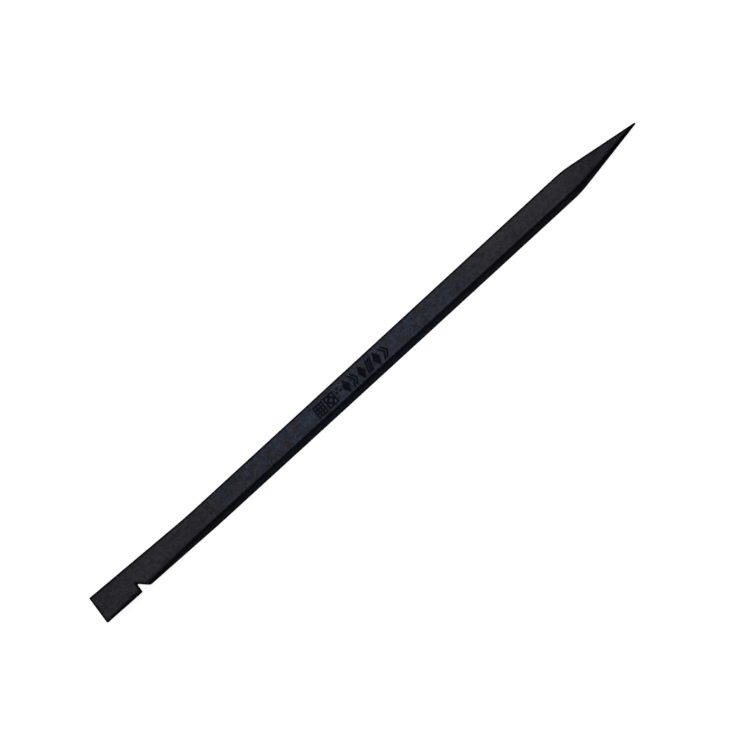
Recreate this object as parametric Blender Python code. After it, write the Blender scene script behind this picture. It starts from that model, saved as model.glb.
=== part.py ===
"""A spudger: a moulded nylon prying stick with a thin notched blade, a plain bar and a straight point.

The stick lies along X on the plane z = 0. The blade is at -X, the point is at +X, the blade's hooked notch
opens towards -Y, and +Z is up through the thickness. The origin is under the middle of the whole stick.
Everything is in metres.
"""

import math

import bmesh
import bpy

# Driving dimensions.
LENGTH = 0.150
BAR_WIDTH_AT_BLADE = 0.0049
BAR_WIDTH_AT_POINT = 0.00505
BAR_THICKNESS = 0.0041
BAR_FILLET = 0.00030

BLADE_THIN_LENGTH = 0.0285
BLADE_EDGE_THICKNESS = 0.0006
BLADE_FLARE_LENGTH = 0.0265
BLADE_FLARE_PLUS_Y = 0.00110
BLADE_FLARE_MINUS_Y = 0.00095
BLADE_BEND_HALF_SPAN = 0.0030
BLADE_FILLET = 0.00012

POINT_LENGTH = 0.0175
POINT_BEND_HALF_SPAN = 0.0022
TIP_WIDTH = 0.00035
TIP_THICKNESS = 0.00030
TIP_FILLET = 0.00008

NOTCH_WALL_FROM_END = 0.0097
NOTCH_DEPTH = 0.00204
NOTCH_ROOT_RADIUS = 0.00012
NOTCH_HOOK_RADIUS = 0.00035
NOTCH_MOUTH_RADIUS = 0.0012
NOTCH_RAMP_ANGLE = math.radians(45)

# How finely the round stretches are cut into flats.
CORNER_STEPS = 3
BEND_STEPS = 10
ARC_STEPS = 5
SHARPEST_SMOOTH_ANGLE = math.radians(35)

# Places that follow from the sizes above.
BLADE_END_X = -LENGTH / 2
TIP_X = LENGTH / 2
THIN_START_X = BLADE_END_X + BLADE_THIN_LENGTH
FLARE_START_X = BLADE_END_X + BLADE_FLARE_LENGTH
SHOULDER_X = TIP_X - POINT_LENGTH
BAR_CENTRE_Y = (BLADE_FLARE_MINUS_Y - BLADE_FLARE_PLUS_Y) / 2

# The cutter stands past the faces that it cuts by this much.
CUT_MARGIN = 0.001

# The mouth's arc stops this far short of the blade's edge in angle, and a straight stretch crosses the edge.
MOUTH_CROSSING_ANGLE = math.radians(5)


def clear_scene():
    for obj in list(bpy.data.objects):
        bpy.data.objects.remove(obj, do_unlink=True)


def plastic(name, colour, roughness):
    """A Principled material for a moulded plastic."""
    material = bpy.data.materials.new(name)
    material.use_nodes = True
    shader = material.node_tree.nodes["Principled BSDF"]
    shader.inputs["Base Color"].default_value = (*colour, 1.0)
    shader.inputs["Roughness"].default_value = roughness
    shader.inputs["Metallic"].default_value = 0.0
    return material


def past_bend(distance, half_span):
    """How far past a bend a place is: 0 before it, the distance after it, and a parabola between the two."""
    if distance <= -half_span:
        return 0.0
    if distance >= half_span:
        return distance
    return (distance + half_span) ** 2 / (4 * half_span)


def into_thin(x):
    """0 along the bar, rising to 1 at the blade's end, for the blade's thinning."""
    return past_bend(THIN_START_X - x, BLADE_BEND_HALF_SPAN) / BLADE_THIN_LENGTH


def into_flare(x):
    """0 along the bar, rising to 1 at the blade's end, for the blade's widening."""
    return past_bend(FLARE_START_X - x, BLADE_BEND_HALF_SPAN) / BLADE_FLARE_LENGTH


def into_point(x):
    """0 along the bar, rising to 1 at the tip."""
    return past_bend(x - SHOULDER_X, POINT_BEND_HALF_SPAN) / POINT_LENGTH


def half_width(x, flare):
    """From the bar's centre line out to one side face, with that side's flare on the blade."""
    along_bar = (x - FLARE_START_X) / (SHOULDER_X - FLARE_START_X)
    along_bar = min(max(along_bar, 0.0), 1.0)
    bar_width = BAR_WIDTH_AT_BLADE + (BAR_WIDTH_AT_POINT - BAR_WIDTH_AT_BLADE) * along_bar
    narrowing = (BAR_WIDTH_AT_POINT - TIP_WIDTH) * into_point(x)
    return (bar_width - narrowing) / 2 + flare * into_flare(x)


def bottom_z(x):
    """The bottom rises under the blade to leave it thin, and rises to the middle at the point."""
    under_blade = (BAR_THICKNESS - BLADE_EDGE_THICKNESS) * into_thin(x)
    under_point = (BAR_THICKNESS - TIP_THICKNESS) / 2 * into_point(x)
    return under_blade + under_point


def top_z(x):
    """The top stays flat along the blade and the bar, and falls to the middle at the point."""
    return BAR_THICKNESS - (BAR_THICKNESS - TIP_THICKNESS) / 2 * into_point(x)


def fillet(x):
    """The radius along the four long edges, smaller towards both thin ends."""
    lost_on_blade = (BAR_FILLET - BLADE_FILLET) * into_thin(x)
    lost_on_point = (BAR_FILLET - TIP_FILLET) * into_point(x)
    return BAR_FILLET - lost_on_blade - lost_on_point


def section(x):
    """The stick's outline at one x: a rectangle with round corners."""
    radius = fillet(x)
    plus_y = BAR_CENTRE_Y + half_width(x, BLADE_FLARE_PLUS_Y) - radius
    minus_y = BAR_CENTRE_Y - half_width(x, BLADE_FLARE_MINUS_Y) + radius
    high = top_z(x) - radius
    low = bottom_z(x) + radius
    corners = ((plus_y, high), (minus_y, high), (minus_y, low), (plus_y, low))
    points = []
    for quarter, (y, z) in enumerate(corners):
        for step in range(CORNER_STEPS + 1):
            angle = math.pi / 2 * (quarter + step / CORNER_STEPS)
            points.append((x, y + radius * math.cos(angle), z + radius * math.sin(angle)))
    return points


def evenly(start, end):
    """Places across a bend, evenly spaced from its start to its end."""
    return [start + (end - start) * step / BEND_STEPS for step in range(BEND_STEPS + 1)]


def stick_places():
    """Where the stick's sections stand, from the blade's end to the tip."""
    first_bend = min(THIN_START_X, FLARE_START_X) - BLADE_BEND_HALF_SPAN
    last_bend = max(THIN_START_X, FLARE_START_X) + BLADE_BEND_HALF_SPAN
    return [
        BLADE_END_X,
        *evenly(first_bend, last_bend),
        *evenly(SHOULDER_X - POINT_BEND_HALF_SPAN, SHOULDER_X + POINT_BEND_HALF_SPAN),
        TIP_X,
    ]


def loft(mesh, sections):
    """Joins a row of sections into one closed skin with a flat cap at each end."""
    rings = [[mesh.verts.new(point) for point in points] for points in sections]
    count = len(rings[0])
    for ring, following in zip(rings, rings[1:]):
        for i in range(count):
            j = (i + 1) % count
            mesh.faces.new((ring[i], ring[j], following[j], following[i]))
    mesh.faces.new(reversed(rings[0]))
    mesh.faces.new(rings[-1])


def add_object(name, mesh):
    """Turns a bmesh into an object in the scene, with its faces out and its round corners smooth."""
    bmesh.ops.recalc_face_normals(mesh, faces=mesh.faces)
    data = bpy.data.meshes.new(name)
    mesh.to_mesh(data)
    mesh.free()
    data.shade_smooth()
    data.set_sharp_from_angle(angle=SHARPEST_SMOOTH_ANGLE)
    obj = bpy.data.objects.new(name, data)
    bpy.context.scene.collection.objects.link(obj)
    return obj


def arc(centre, radius, start, end):
    """Points in plan along an arc, between two angles in radians."""
    points = []
    for step in range(ARC_STEPS + 1):
        angle = start + (end - start) * step / ARC_STEPS
        points.append((centre[0] + radius * math.cos(angle), centre[1] + radius * math.sin(angle)))
    return points


def notch_outline():
    """The notch in plan: the hook's round corner, its wall, a round root, a ramp, and a round mouth at the edge."""
    wall_x = BLADE_END_X + NOTCH_WALL_FROM_END
    edge_y = BAR_CENTRE_Y - half_width(wall_x, BLADE_FLARE_MINUS_Y)
    edge_slope = math.atan2(BLADE_FLARE_MINUS_Y, BLADE_FLARE_LENGTH)
    root_y = edge_y + NOTCH_DEPTH
    outside_y = edge_y - CUT_MARGIN
    hook_rise = NOTCH_HOOK_RADIUS * (1 / math.cos(edge_slope) - math.tan(edge_slope))
    hook_centre = (wall_x - NOTCH_HOOK_RADIUS, edge_y + hook_rise)
    hook = arc(hook_centre, NOTCH_HOOK_RADIUS, edge_slope - math.pi / 2, 0.0)
    root_centre = (wall_x + NOTCH_ROOT_RADIUS, root_y - NOTCH_ROOT_RADIUS)
    root = arc(root_centre, NOTCH_ROOT_RADIUS, math.pi, math.pi / 2 - NOTCH_RAMP_ANGLE)

    # Where the ramp would meet the edge if the corner between them were sharp.
    ramp_x, ramp_y = root[-1]
    fall = ramp_y - (edge_y + (ramp_x - wall_x) * math.tan(edge_slope))
    corner_run = fall / (math.tan(NOTCH_RAMP_ANGLE) + math.tan(edge_slope))
    turn = NOTCH_RAMP_ANGLE + edge_slope
    cut = NOTCH_MOUTH_RADIUS * math.tan(turn / 2)
    start_x = ramp_x + corner_run - cut * math.cos(NOTCH_RAMP_ANGLE)
    start_y = ramp_y - corner_run * math.tan(NOTCH_RAMP_ANGLE) + cut * math.sin(NOTCH_RAMP_ANGLE)
    mouth_centre = (
        start_x + NOTCH_MOUTH_RADIUS * math.sin(NOTCH_RAMP_ANGLE),
        start_y + NOTCH_MOUTH_RADIUS * math.cos(NOTCH_RAMP_ANGLE),
    )
    mouth_end = edge_slope - math.pi / 2 - MOUTH_CROSSING_ANGLE
    mouth = arc(mouth_centre, NOTCH_MOUTH_RADIUS, -math.pi / 2 - NOTCH_RAMP_ANGLE, mouth_end)
    crossing_x = mouth[-1][0] + NOTCH_MOUTH_RADIUS * MOUTH_CROSSING_ANGLE
    crossing_y = mouth[-1][1] + (crossing_x - mouth[-1][0]) * math.tan(edge_slope - MOUTH_CROSSING_ANGLE)
    return [(hook[0][0], outside_y), *hook, *root, *mouth, (crossing_x, crossing_y), (crossing_x, outside_y)]


def notch_cutter():
    """The notch's outline, carried up through the blade."""
    mesh = bmesh.new()
    outline = [mesh.verts.new((x, y, -CUT_MARGIN)) for x, y in notch_outline()]
    base = mesh.faces.new(outline)
    grown = bmesh.ops.extrude_face_region(mesh, geom=[base])
    top = [item for item in grown["geom"] if isinstance(item, bmesh.types.BMVert)]
    bmesh.ops.translate(mesh, verts=top, vec=(0.0, 0.0, BAR_THICKNESS + 2 * CUT_MARGIN))
    cutter = add_object("notch_cutter", mesh)
    cutter.hide_render = True
    cutter.display_type = "WIRE"
    return cutter


def spudger_stick():
    """The whole stick: its lofted skin, with the notch cut out of the blade's -Y edge."""
    mesh = bmesh.new()
    loft(mesh, [section(x) for x in stick_places()])
    stick = add_object("spudger_stick", mesh)
    stick.data.materials.append(plastic("black_nylon", (0.019, 0.020, 0.024), 0.62))
    cut = stick.modifiers.new("notch", "BOOLEAN")
    cut.operation = "DIFFERENCE"
    cut.solver = "EXACT"
    cut.object = notch_cutter()


clear_scene()
spudger_stick()
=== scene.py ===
"""The looks of a spudger: one moulded stick of black, fibre-filled nylon, lying on a pale studio floor.

The stick's skin is three sheets of vertices that share their borders. The top and the bottom are grids
ruled from the notched edge to the plain one, and the rim is an edge profile carried once round the outline.
Sizes are in metres unless they say otherwise. X runs along the stick to its point, Y runs across it away from
the notch, and Z runs up through its thickness.
"""

import logging
import math
from dataclasses import dataclass, field, replace
from enum import Enum
from typing import Any

import bpy
import numpy as np
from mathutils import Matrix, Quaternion, Vector
from numpy.typing import NDArray


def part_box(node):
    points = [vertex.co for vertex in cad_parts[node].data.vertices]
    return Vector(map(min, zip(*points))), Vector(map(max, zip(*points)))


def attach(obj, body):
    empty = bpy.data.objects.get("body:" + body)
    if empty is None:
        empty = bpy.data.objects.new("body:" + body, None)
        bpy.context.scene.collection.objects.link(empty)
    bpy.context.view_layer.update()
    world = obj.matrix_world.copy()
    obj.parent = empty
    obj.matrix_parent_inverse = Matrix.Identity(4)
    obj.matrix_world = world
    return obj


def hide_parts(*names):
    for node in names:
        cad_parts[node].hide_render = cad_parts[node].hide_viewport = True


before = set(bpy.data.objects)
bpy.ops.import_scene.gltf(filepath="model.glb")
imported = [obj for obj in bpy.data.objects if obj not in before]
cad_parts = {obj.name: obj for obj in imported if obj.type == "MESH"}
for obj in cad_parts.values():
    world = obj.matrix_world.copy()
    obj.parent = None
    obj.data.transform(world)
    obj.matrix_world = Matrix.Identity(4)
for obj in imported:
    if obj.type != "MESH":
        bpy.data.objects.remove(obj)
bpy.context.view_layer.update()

Array = NDArray[np.float64]
Triple = tuple[float, float, float]
Colour = tuple[float, float, float]

LOG = logging.getLogger("spudger")
STICK_NODE = "spudger_stick"
BODY = "root"
WHITE: Colour = (1.0, 1.0, 1.0)
IN_MILLIMETRES: Triple = (1000.0, 1000.0, 1000.0)


def past_bend(distance: Array, half_span: float) -> Array:
    """Gives how far past a bend a place is, with the bend rounded.

    It is 0 before the bend, the distance itself after it, and the parabola (d + h)^2 / 4h that meets both.

    Args:
        distance: Signed distance past the bend's middle.
        half_span: Half of the length over which the bend is rounded.

    Returns:
        The rounded distance, never below 0.
    """
    rounded = (np.clip(distance, -half_span, half_span) + half_span) ** 2 / (4 * half_span)
    return np.where(distance > half_span, distance, rounded)


def smooth_step(value: Array, low: float, high: float) -> Array:
    """Rises from 0 at low to 1 at high along the cubic t^2 (3 - 2t).

    Args:
        value: What the step is taken of.
        low: Where the rise begins.
        high: Where the rise ends, which may be below low for a fall.

    Returns:
        The step, from 0 to 1.
    """
    t = np.clip((value - low) / (high - low), 0.0, 1.0)
    return t * t * (3 - 2 * t)


@dataclass(frozen=True)
class Run:
    """A stretch of one edge in plan, as points, the way each faces, and the place opposite each.

    Attributes:
        x: Places along the stick.
        out: Distances out from the stick's centre line.
        angle: The direction that each point faces, in radians from +X towards outwards.
        partner: The place along the plain edge that each point is ruled to.
        pinch: How much of the notch's sharper fillet each point has, from 0 to 1.
    """

    x: Array
    out: Array
    angle: Array
    partner: Array
    pinch: Array


def join_runs(runs: list[Run]) -> Run:
    """Joins runs end to end.

    Args:
        runs: The runs in order, each starting where the one before it ends.

    Returns:
        One run, without the first point of each later run, which repeats the end of the one before.
    """
    def joined(name: str) -> Array:
        """Joins one of the runs' arrays."""
        return np.concatenate([getattr(run, name)[min(i, 1):] for i, run in enumerate(runs)])

    return Run(joined("x"), joined("out"), joined("angle"), joined("partner"), joined("pinch"))


def arc_run(centre: tuple[float, float], radius: float, start: float, end: float, steps: int) -> Run:
    """Makes a run along an arc: the centre plus the radius along each angle from start to end.

    Args:
        centre: The arc's centre, as a place along the stick and a distance out from its centre line.
        radius: The arc's radius, negative for a hollow corner, whose points lie opposite to where they face.
        start: The first angle, in radians.
        end: The last angle, in radians.
        steps: The number of steps between them.

    Returns:
        The run, with each point ruled straight across.
    """
    angle = np.linspace(start, end, steps + 1)
    x = centre[0] + radius * np.cos(angle)
    out = centre[1] + radius * np.sin(angle)
    return Run(x, out, angle, x, np.zeros_like(x))


@dataclass(frozen=True)
class Notch:
    """The hooked notch in the blade's edge: a wall across the stick, a round root and a ramp back out.

    Attributes:
        wall_from_end: From the blade's end to the wall.
        depth: From the blade's edge in to the root.
        hook_radius: The radius of the hook's outer corner.
        root_radius: The radius of the hollow corner at the root.
        mouth_radius: The radius of the corner where the ramp meets the blade's edge.
        ramp: The angle of the ramp to the stick's length, in radians.
        fillet: The radius along the notch's top and bottom edges.
        fan: How far back along the plain edge the wall's ruled lines are spread.
        arc_steps: Steps round each corner.
        wall_steps: Steps along the wall and along the ramp.
    """

    wall_from_end: float = 0.0097
    depth: float = 0.00204
    hook_radius: float = 0.00035
    root_radius: float = 0.00012
    mouth_radius: float = 0.0012
    ramp: float = math.radians(45)
    fillet: float = 0.00011
    fan: float = 0.0014
    arc_steps: int = 8
    wall_steps: int = 9


@dataclass(frozen=True)
class StickShape:
    """The stick's sizes and the formulas of its faces.

    Attributes:
        low: The lowest corner of the stick's box.
        high: The highest corner of the stick's box.
        bar_width_at_blade: The bar's width where the blade begins.
        bar_width_at_point: The bar's width where the point begins.
        thin_length: How far from its end the blade is thinned from below.
        flare_length: How far from its end the blade is widened.
        flare_share: The plain edge's share of the widening.
        edge_thickness: The blade's thickness at its end.
        blade_bend: Half of the length over which the blade's bends are rounded.
        point_length: The length of the point.
        point_bend: Half of the length over which the point's shoulder is rounded.
        tip_width: The width that the point would have at its end if its nose weren't round.
        tip_thickness: The point's thickness at its end.
        bar_fillet: The radius along the bar's long edges.
        blade_fillet: The same radius at the blade's end.
        tip_fillet: The same radius at the tip.
        corner_radius: The radius of the blade's two end corners, in plan.
        sway: How far the bar's middle has drawn over towards the notched edge as the moulding cooled.
    """

    low: Vector
    high: Vector
    bar_width_at_blade: float = 0.0049
    bar_width_at_point: float = 0.00505
    thin_length: float = 0.0285
    flare_length: float = 0.0265
    flare_share: float = 0.5366
    edge_thickness: float = 0.0006
    blade_bend: float = 0.0030
    point_length: float = 0.0175
    point_bend: float = 0.0022
    tip_width: float = 0.00035
    tip_thickness: float = 0.00030
    bar_fillet: float = 0.00030
    blade_fillet: float = 0.00012
    tip_fillet: float = 0.00010
    corner_radius: float = 0.00022
    sway: float = 0.00012

    @property
    def thickness(self) -> float:
        """The bar's thickness."""
        return self.high.z - self.low.z

    @property
    def widening(self) -> float:
        """How much wider the blade's end is than the bar."""
        return self.high.y - self.low.y - self.bar_width_at_blade

    @property
    def centre_y(self) -> float:
        """The bar's centre line, which lies off the box's middle by half of what one edge flares more."""
        return (self.low.y + self.high.y) / 2 + self.widening * (0.5 - self.flare_share)

    @property
    def shoulder_x(self) -> float:
        """Where the point begins."""
        return self.high.x - self.point_length

    @property
    def slant(self) -> float:
        """The angle of each edge of the point to the stick's length."""
        return math.atan((self.bar_width_at_point - self.tip_width) / 2 / self.point_length)

    @property
    def nose_radius(self) -> float:
        """The radius of the nose that touches the stick's end and both edges of the point."""
        slope = math.tan(self.slant)
        return self.tip_width / 2 / (math.hypot(1, slope) - slope)

    def flare(self, plain_edge: bool) -> float:
        """How far one edge of the blade flares out at its end."""
        return self.widening * (self.flare_share if plain_edge else 1 - self.flare_share)

    def lean(self, plain_edge: bool) -> float:
        """The angle of one edge of the blade to the stick's length."""
        return math.atan(self.flare(plain_edge) / self.flare_length)

    def into_thin(self, x: Array) -> Array:
        """0 along the bar, rising to 1 at the blade's end, for the blade's thinning."""
        return past_bend(self.low.x + self.thin_length - x, self.blade_bend) / self.thin_length

    def into_point(self, x: Array) -> Array:
        """0 along the bar, rising to 1 at the tip."""
        return past_bend(x - self.shoulder_x, self.point_bend) / self.point_length

    def thinness(self, x: Array) -> Array:
        """0 along the bar, rising to 1 at either end."""
        return self.into_thin(x) + self.into_point(x)

    def half_width(self, x: Array, plain_edge: bool) -> Array:
        """Gives the distance from the bar's centre line out to one edge.

        It is half of the bar's width, which grows evenly from blade to point, plus the edge's flare on the
        blade and less an even narrowing along the point.

        Args:
            x: Places along the stick.
            plain_edge: True for the edge at +Y, False for the notched one.

        Returns:
            The distance at each place.
        """
        flare_start = self.low.x + self.flare_length
        along = np.clip((x - flare_start) / (self.shoulder_x - flare_start), 0.0, 1.0)
        width = self.bar_width_at_blade + (self.bar_width_at_point - self.bar_width_at_blade) * along
        flared = past_bend(flare_start - x, self.blade_bend) / self.flare_length
        narrowing = (self.bar_width_at_point - self.tip_width) * self.into_point(x)
        return (width - narrowing) / 2 + self.flare(plain_edge) * flared

    def edge_at(self, x: float, plain_edge: bool) -> float:
        """The same distance at one place."""
        return float(self.half_width(np.array([x]), plain_edge)[0])

    def bottom_z(self, x: Array) -> Array:
        """Gives the bottom's height, which rises under the blade and to the stick's middle at the point.

        Args:
            x: Places along the stick.

        Returns:
            The height at each place.
        """
        under_blade = (self.thickness - self.edge_thickness) * self.into_thin(x)
        under_point = (self.thickness - self.tip_thickness) / 2 * self.into_point(x)
        return self.low.z + under_blade + under_point

    def top_z(self, x: Array) -> Array:
        """The top's height, level along the blade and the bar and falling to the middle at the point."""
        return self.high.z - (self.thickness - self.tip_thickness) / 2 * self.into_point(x)

    def fillet(self, x: Array) -> Array:
        """Gives the radius along the long edges, which shrinks evenly towards both thin ends.

        Args:
            x: Places along the stick.

        Returns:
            The radius at each place.
        """
        on_blade = (self.bar_fillet - self.blade_fillet) * self.into_thin(x)
        on_point = (self.bar_fillet - self.tip_fillet) * self.into_point(x)
        return self.bar_fillet - on_blade - on_point

    def sway_y(self, x: Array) -> Array:
        """How far the cooled stick has drawn sideways, a parabola that is 0 at both ends."""
        return -self.sway * (1 - ((x - self.low.x) / (self.high.x - self.low.x) * 2 - 1) ** 2)


@dataclass(frozen=True)
class Stations:
    """Where the stick's cross lines stand, close together where there is fine detail.

    Attributes:
        step: The usual step between two lines.
        detail: Each stretch of fine detail, as its start, its end and the step within it.
        easing: The length over which the step changes from one to the other.
        samples: How many places the density of the lines is worked out at.
    """

    step: float
    detail: tuple[Triple, ...]
    easing: float = 0.0012
    samples: int = 6000

    def between(self, start: float, end: float) -> Array:
        """Gives the stations from start to end.

        The number of steps passed at a place is the integral of one over the step there, and the stations are
        the places where it takes evenly spaced values.

        Args:
            start: The first station.
            end: The last station.

        Returns:
            The stations, in order.
        """
        x = np.linspace(start, end, self.samples)
        density = np.full_like(x, 1 / self.step)
        for first, last, step in self.detail:
            inside = smooth_step(x, first - self.easing, first) * smooth_step(x, last + self.easing, last)
            density = np.maximum(density, inside / step)
        passed = np.concatenate([[0.0], np.cumsum((density[1:] + density[:-1]) / 2 * np.diff(x))])
        count = max(2, math.ceil(passed[-1]))
        return np.interp(np.linspace(0.0, passed[-1], count + 1), passed, x)


class Motif(Enum):
    """The plain shapes that the marking is made of."""

    LATTICE = "a square lattice"
    QUILT = "a slanted lattice in a square"
    PIPS = "three round pips"
    LOZENGE = "a solid lozenge"
    CHEVRONS = "two chevrons"
    SLATS = "three slanted bars"


@dataclass(frozen=True)
class Marking:
    """A band of plain sunken shapes along the top face, which says nothing.

    Attributes:
        start: Where the band begins along the stick.
        middle_y: Where its middle lies across the stick.
        height: Its height across the stick.
        gap: The gap between two shapes.
        stroke: The width of a line.
        depth: How deep the lines are sunk.
        softness: Half of the width over which a line's wall falls.
        lattice_lines: How many lines each lattice has each way.
        chevron_lean: How far along the stick an arm of a chevron runs for each length across it.
        chevron_squareness: The share of a distance along the stick that is square to such an arm.
        slat_lean: How far along the stick a slanted bar runs for each length across it.
        slat_squareness: The share of a distance along the stick that is square to such a bar.
        slat_spread: How far out the outer bars stand, as a share of half of their cell's width.
        pip_rows: How high the upper pip and the two lower ones stand, as shares of half of the height.
        pip_growth: How much larger than a line's width a pip is, as a share of that width on each side.
        cells: The shapes in order, each with its width.
    """

    start: float = -0.01337
    middle_y: float = -0.00052
    height: float = 0.00308
    gap: float = 0.00036
    stroke: float = 0.00038
    depth: float = 0.00014
    softness: float = 0.00005
    lattice_lines: int = 4
    chevron_lean: float = 0.55
    chevron_squareness: float = 0.88
    slat_lean: float = 0.3
    slat_squareness: float = 0.96
    slat_spread: float = 0.80
    pip_rows: tuple[float, float] = (0.84, 0.22)
    pip_growth: float = 0.22
    cells: tuple[tuple[Motif, float], ...] = (
        (Motif.LATTICE, 0.00262),
        (Motif.QUILT, 0.00262),
        (Motif.PIPS, 0.00145),
        (Motif.LOZENGE, 0.00176),
        (Motif.CHEVRONS, 0.00178),
        (Motif.LOZENGE, 0.00176),
        (Motif.SLATS, 0.00170),
        (Motif.LOZENGE, 0.00176),
        (Motif.CHEVRONS, 0.00178),
    )

    @property
    def end(self) -> float:
        """Where the band ends along the stick."""
        return self.start + sum(width for _, width in self.cells) + self.gap * (len(self.cells) - 1)

    def line_distance(self, motif: Motif, u: Array, v: Array, half_width: float) -> Array:
        """Gives the distance to the middle of a shape's nearest line.

        Bars repeat by folding the coordinate about evenly spaced lines, and the slanted lattice does the same
        along u + v and u - v. A lozenge is filled to where |u|/a + |v|/b is 1, a chevron is where u + c|v| is
        constant, and a slat is where u - cv is.

        Args:
            motif: The shape.
            u: Distances along the stick from the middle of the shape's cell.
            v: Distances across the stick from the same.
            half_width: Half of the cell's width.

        Returns:
            The distance at each point.
        """
        tall = self.height / 2 - self.stroke / 2
        wide = half_width - self.stroke / 2

        def bars(place: Array, half: float, count: int) -> Array:
            """Gives the distance to the nearest of some evenly spread lines.

            Args:
                place: The coordinate that the lines cross.
                half: Where the last line stands, with the first one at the same distance below 0.
                count: How many lines there are.

            Returns:
                The distance at each point.
            """
            pitch = 2 * half / (count - 1)
            nearest = np.clip(np.round((place + half) / pitch), 0, count - 1)
            return np.abs(place + half - nearest * pitch)

        past_height = np.maximum(np.abs(v) - tall, 0.0)
        past_end = np.maximum(np.abs(u) - wide, past_height)
        lines = self.lattice_lines
        if motif is Motif.LATTICE:
            return np.hypot(np.minimum(bars(u, wide, lines), bars(v, tall, lines)), past_end)
        if motif is Motif.QUILT:
            rising, falling = u / wide + v / tall, u / wide - v / tall
            slanted = np.minimum(bars(rising, 2.0, lines), bars(falling, 2.0, lines))
            slanted = slanted * wide * tall / math.hypot(wide, tall)
            border = np.minimum(bars(u, wide, 2), bars(v, tall, 2))
            return np.hypot(np.minimum(slanted, border), past_end)
        if motif is Motif.CHEVRONS:
            fold = (np.abs(v) - tall / 2) * self.chevron_lean
            return np.hypot(bars(u + fold, wide / 2, 2) * self.chevron_squareness, past_height)
        if motif is Motif.SLATS:
            slanted = bars(u - v * self.slat_lean, wide * self.slat_spread, 3)
            return np.hypot(slanted * self.slat_squareness, past_height)
        if motif is Motif.PIPS:
            high, low = self.pip_rows
            upper = np.hypot(u, v - tall * high)
            lower = np.hypot(np.abs(u) - wide, v - tall * low)
            return np.minimum(upper, lower) - self.stroke * self.pip_growth
        past_outline = np.maximum(np.abs(u) / wide + np.abs(v) / tall - 1, 0.0)
        return past_outline * wide * tall / math.hypot(wide, tall)

    def mask(self, x: Array, y: Array) -> Array:
        """Gives how far each point is sunk into the marking, from 0 on the face to 1 on a line's floor.

        Args:
            x: Places along the stick.
            y: Places across the stick.

        Returns:
            The share of the full depth at each point.
        """
        nearest = np.full_like(x, self.height)
        cell_start = self.start
        for motif, width in self.cells:
            middle = cell_start + width / 2
            here = np.abs(x - middle) < width / 2 + self.gap / 2
            distance = self.line_distance(motif, x - middle, y - self.middle_y, width / 2)
            nearest = np.where(here, distance, nearest)
            cell_start += width + self.gap
        wall = self.stroke / 2
        return smooth_step(nearest, wall + self.softness, wall - self.softness)


@dataclass(frozen=True)
class PinMarks:
    """The round, shallow marks that ejector pins leave in the underside.

    Attributes:
        places: Where the pins stood along the stick.
        radius: The pins' radius.
        depth: How deep each mark is.
        burr: How high the thin ring of plastic round each mark stands.
        softness: Half of the width over which a mark's wall falls.
    """

    places: tuple[float, ...] = (-0.037, -0.009, 0.019, 0.047)
    radius: float = 0.00125
    depth: float = 0.00006
    burr: float = 0.000012
    softness: float = 0.00008

    def mask(self, x: Array, y: Array) -> Array:
        """1 inside a pin's circle and 0 outside it."""
        distance = np.min([np.hypot(x - place, y) for place in self.places], axis=0)
        return smooth_step(distance, self.radius + self.softness, self.radius - self.softness)

    def rise(self, mask: Array) -> Array:
        """How far the underside is pushed up at each point of a mask, less the burr round each mark."""
        return self.depth * mask - self.burr * 4 * mask * (1 - mask)


@dataclass(frozen=True)
class GateScar:
    """The low trimmed stub where the plastic entered the mould, on the plain side face.

    Attributes:
        place: Where it is along the stick.
        length: How long it is.
        height: How far it stands out.
        softness: Half of the width over which its sides fall.
        foot: How far from the side face's middle it ends, as a share of that face.
        crown: How far from the middle it has its full height.
        ruffle: How much its height varies.
        ruffle_along: The ruffle's waves along the stick, in radians for each metre.
        ruffle_down: The ruffle's waves down the side face, in radians for the whole face.
        ruffle_slant: How much the first waves lean, in the same.
    """

    place: float = 0.031
    length: float = 0.0018
    height: float = 0.00009
    softness: float = 0.00014
    foot: float = 0.30
    crown: float = 0.18
    ruffle: float = 0.25
    ruffle_along: float = 21000.0
    ruffle_down: float = 23.0
    ruffle_slant: float = 3.0

    def rise(self, x: Array, fraction: Array) -> Array:
        """Gives how far the side face stands out.

        It is a low block with soft sides, ruffled by two crossing waves as a trimmed stub is.

        Args:
            x: Places along the stick.
            fraction: How far down the side face each point is, from 0 to 1.

        Returns:
            The distance out at each point.
        """
        half = self.length / 2
        along = smooth_step(np.abs(x - self.place), half + self.softness, half - self.softness)
        down = smooth_step(np.abs(fraction - 0.5), self.foot, self.crown)
        slanted = np.sin(x * self.ruffle_along + fraction * self.ruffle_slant)
        waves = slanted * np.sin(fraction * self.ruffle_down)
        return self.height * along * down * (1 + self.ruffle * waves)


@dataclass(frozen=True)
class RimProfile:
    """The stick's edge in section: a fillet, a side face with a parting line across its middle, and a fillet.

    Attributes:
        fillet_steps: Steps round each fillet.
        side: How far down the side face each of its points is, from 0 to 1.
        draft: How far the side face falls back from the parting line to each fillet, on the full bar.
        flash: How far the thin ridge on the parting line stands out, on the full bar.
        flash_half_width: Half of the ridge's width, as a share of the side face.
    """

    fillet_steps: int = 4
    side: tuple[float, ...] = (0.18, 0.34, 0.43, 0.47, 0.5, 0.53, 0.57, 0.66, 0.82)
    draft: float = 0.000028
    flash: float = 0.000022
    flash_half_width: float = 0.035


@dataclass(frozen=True)
class Loop:
    """The stick's closed outline in plan, once round.

    Attributes:
        x: Places along the stick.
        y: Places across the stick.
        facing_x: The X part of the way that each point faces.
        facing_y: The Y part of the same.
        radius: The fillet's radius at each point.
    """

    x: Array
    y: Array
    facing_x: Array
    facing_y: Array
    radius: Array


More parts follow.
